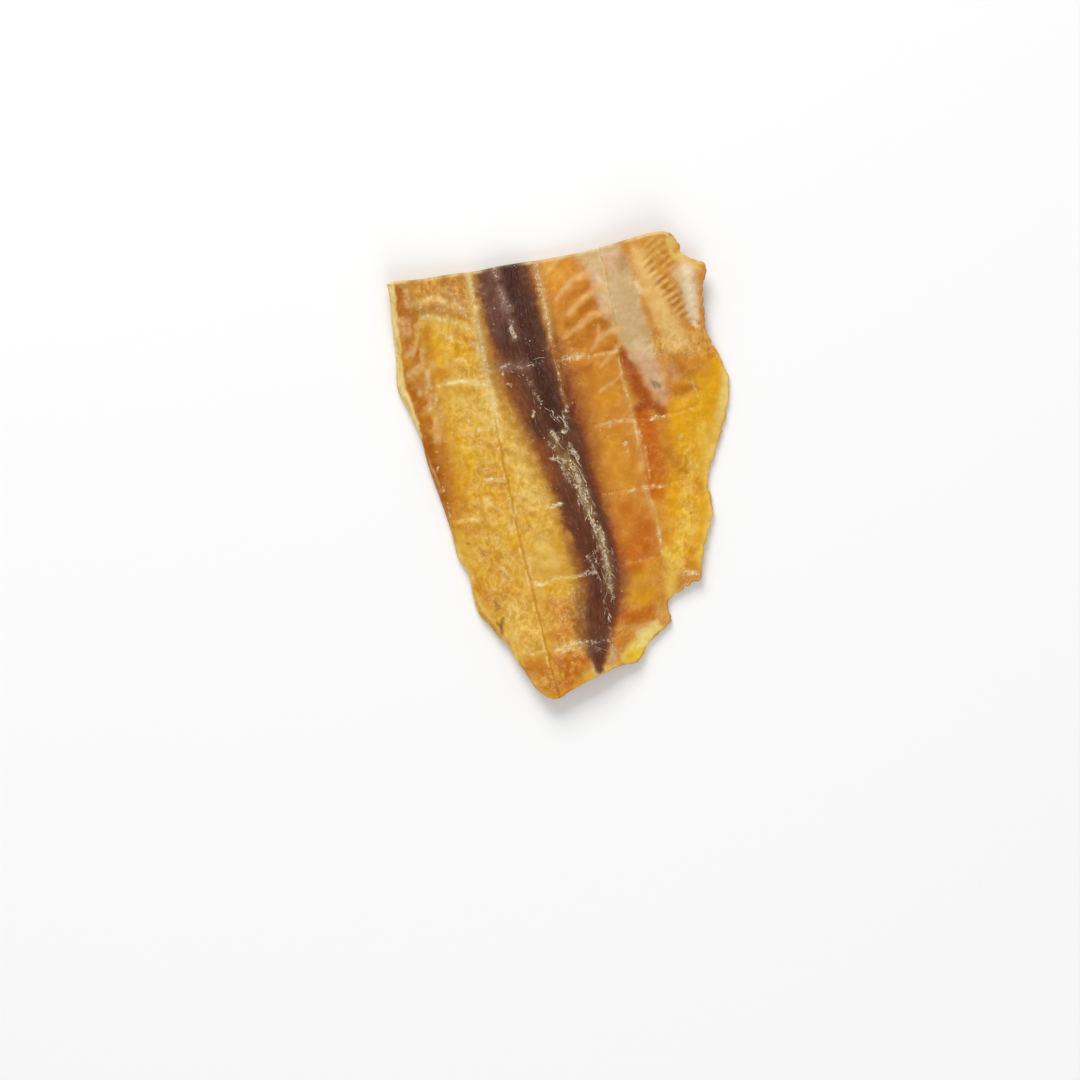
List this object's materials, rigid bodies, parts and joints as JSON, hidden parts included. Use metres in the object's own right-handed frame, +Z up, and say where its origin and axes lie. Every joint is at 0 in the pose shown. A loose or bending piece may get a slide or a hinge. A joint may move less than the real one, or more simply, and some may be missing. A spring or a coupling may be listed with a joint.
{
  "type": "salted dried cod piece",
  "caption": "Thin, hard, amber cut piece of salted dried cod fillet with a dark muscle band, a knife-cut head end, a torn side and a tapering tail end.",
  "frame": {"origin": "middle of the piece's bounding box, on the surface that it rests on", "axes": "+Z up, +Y along the piece from its tail end to its knife-cut head end, +X across it to the torn side"},
  "size_m": [0.0784, 0.1064, 0.0067],
  "materials": {
    "dried_flesh": "waxy, translucent amber"
  },
  "bodies": {
    "root": {"cod_piece": "dried_flesh"}
  },
  "joints": []
}
